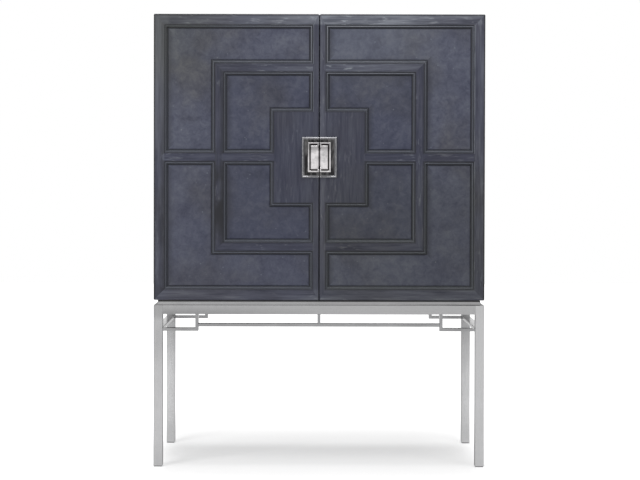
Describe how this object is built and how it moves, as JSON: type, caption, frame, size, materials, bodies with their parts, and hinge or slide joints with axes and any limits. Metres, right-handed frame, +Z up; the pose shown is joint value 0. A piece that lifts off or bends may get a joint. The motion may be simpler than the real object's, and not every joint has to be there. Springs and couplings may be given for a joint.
{
  "type": "bar cabinet",
  "caption": "Tall bar cabinet: fretwork oak doors with leather panels and a split bail pull, fitted for bottles and stemware, on a square-tube metal stand with key fretwork.",
  "frame": {"origin": "on the floor, under the centre of the overall box", "axes": "+X to the viewer's right facing the doors, +Y from the doors to the back, +Z up"},
  "size_m": [1.118, 0.519, 1.53],
  "materials": {
    "oak": "blue-grey cerused oak, open grain, dark glaze in the corners",
    "oak_inside": "grey stained oak, satin lacquer",
    "leather": "mottled slate leather, fine pebble grain, low sheen",
    "stand_metal": "satin nickel-plated steel",
    "pull_metal": "polished nickel",
    "hardware_steel": "zinc-plated steel",
    "reveal_rubber": "matt black",
    "glide_plastic": "moulded nylon",
    "catch_plastic": "black moulded housing with a magnet",
    "mirror": "silvered glass",
    "glass": "clear polished glass"
  },
  "bodies": {
    "cabinet": {"rail_front": "stand_metal", "fret_front": "stand_metal", "leg_front_left": "stand_metal", "leg_front_right": "stand_metal", "rail_back": "stand_metal", "fret_back": "stand_metal", "leg_back_left": "stand_metal", "leg_back_right": "stand_metal", "rail_left": "stand_metal", "side_stretcher_left": "stand_metal", "rail_right": "stand_metal", "side_stretcher_right": "stand_metal", "foot_glides": "glide_plastic", "spacer_frame": "stand_metal", "reveal_strips": "reveal_rubber", "mounting_tabs": "stand_metal", "case_bolts": "hardware_steel", "case_bottom": "oak", "case_side_right": "oak", "case_top": "oak", "case_side_left": "oak", "case_back": "oak_inside", "centre_shelf": "oak_inside", "lower_divider": "oak_inside", "mirror_panel": "mirror", "glass_shelf": "glass", "lower_shelf": "oak_inside", "shelf_cleats": "oak_inside", "shelf_pins": "hardware_steel", "stemware_rails": "oak_inside", "bottle_grid_uprights": "oak_inside", "bottle_grid_shelves": "oak_inside", "door_catches": "catch_plastic", "hinge_arms": "hardware_steel"},
    "left_door": {"leather_outer_left": "leather", "leather_inner_left": "leather", "door_core_left": "oak", "door_border_left": "oak", "door_fret_left": "oak", "centre_block_left": "oak", "panel_mouldings_left": "oak", "hinge_pins_left": "hardware_steel", "strike_plates_left": "hardware_steel", "pull_plate_left": "pull_metal", "pull_pad_left": "pull_metal", "bail_pins_left": "pull_metal"},
    "right_door": {"leather_outer_right": "leather", "leather_inner_right": "leather", "door_core_right": "oak", "door_border_right": "oak", "door_fret_right": "oak", "centre_block_right": "oak", "panel_mouldings_right": "oak", "hinge_pins_right": "hardware_steel", "strike_plates_right": "hardware_steel", "pull_plate_right": "pull_metal", "pull_pad_right": "pull_metal", "bail_pins_right": "pull_metal"},
    "left_bail": {"bail_left": "pull_metal"},
    "right_bail": {"bail_right": "pull_metal"}
  },
  "joints": [
    {"name": "left_door_hinge", "type": "hinge", "parent": "cabinet", "child": "left_door", "pos_m": [-0.551, -0.2315, 1.04725], "axis": [0, 0, -1], "range_deg": [0, 105]},
    {"name": "right_door_hinge", "type": "hinge", "parent": "cabinet", "child": "right_door", "pos_m": [0.551, -0.2315, 1.04725], "axis": [0, 0, 1], "range_deg": [0, 105]},
    {"name": "left_bail_pivot", "type": "hinge", "parent": "left_door", "child": "left_bail", "pos_m": [-0.004, -0.255, 1.04725], "axis": [0, 0, 1], "range_deg": [0, 85]},
    {"name": "right_bail_pivot", "type": "hinge", "parent": "right_door", "child": "right_bail", "pos_m": [0.004, -0.255, 1.04725], "axis": [0, 0, -1], "range_deg": [0, 85]}
  ]
}
